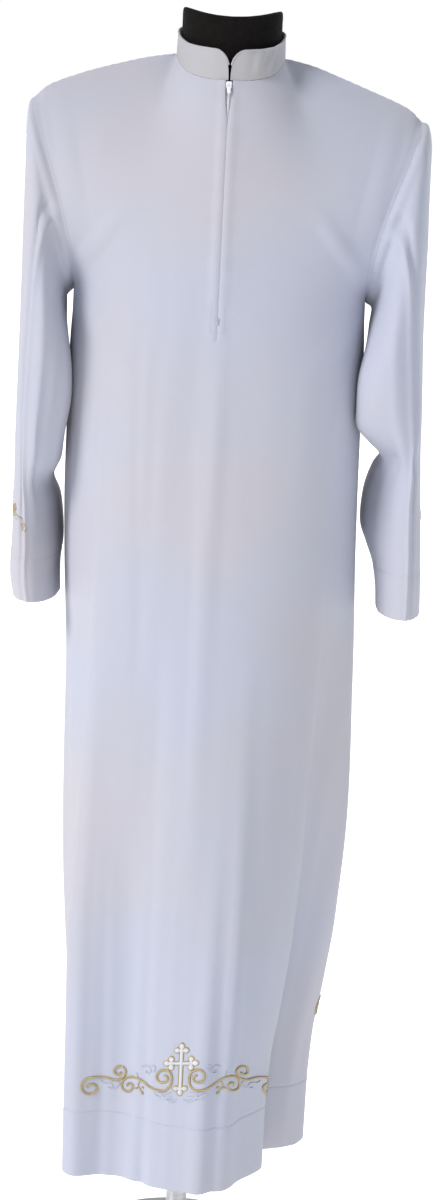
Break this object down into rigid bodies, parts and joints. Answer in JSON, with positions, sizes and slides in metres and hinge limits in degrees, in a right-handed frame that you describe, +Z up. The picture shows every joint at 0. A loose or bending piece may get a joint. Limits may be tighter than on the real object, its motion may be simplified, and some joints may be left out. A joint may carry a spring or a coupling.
{
  "type": "alb on limbless dress form",
  "caption": "Long white robe with a stand collar, neck zip, set-in sleeves and embroidered hem, hung on a black limbless dress form on a round stand.",
  "frame": {"origin": "centre of the stand's flat underside, on the floor", "axes": "+Z up the pole, -Y the front of the robe with the zip, +X the wearer's left"},
  "size_m": [0.528, 0.3266, 1.6689],
  "materials": {
    "white_cloth": "plain matt weave",
    "white_tape": "matt",
    "white_enamel": "glossy",
    "black_jersey": "matt knit over a hard shell",
    "grey_metal": "satin"
  },
  "bodies": {
    "gown_on_form": {"front": "white_cloth", "back": "white_cloth", "sleeve_left": "white_cloth", "sleeve_right": "white_cloth", "collar": "white_cloth", "zip_tape": "white_tape", "zip_slider": "white_enamel", "form_torso": "black_jersey", "stand_pole": "grey_metal", "stand_base": "grey_metal"},
    "pull_tab": {"zip_pull": "white_enamel"}
  },
  "joints": [
    {"name": "pull_tab_swing", "type": "hinge", "parent": "gown_on_form", "child": "pull_tab", "pos_m": [0, -0.08371, 1.57996], "axis": [-1, 0, 0], "range_deg": [0, 120]}
  ]
}
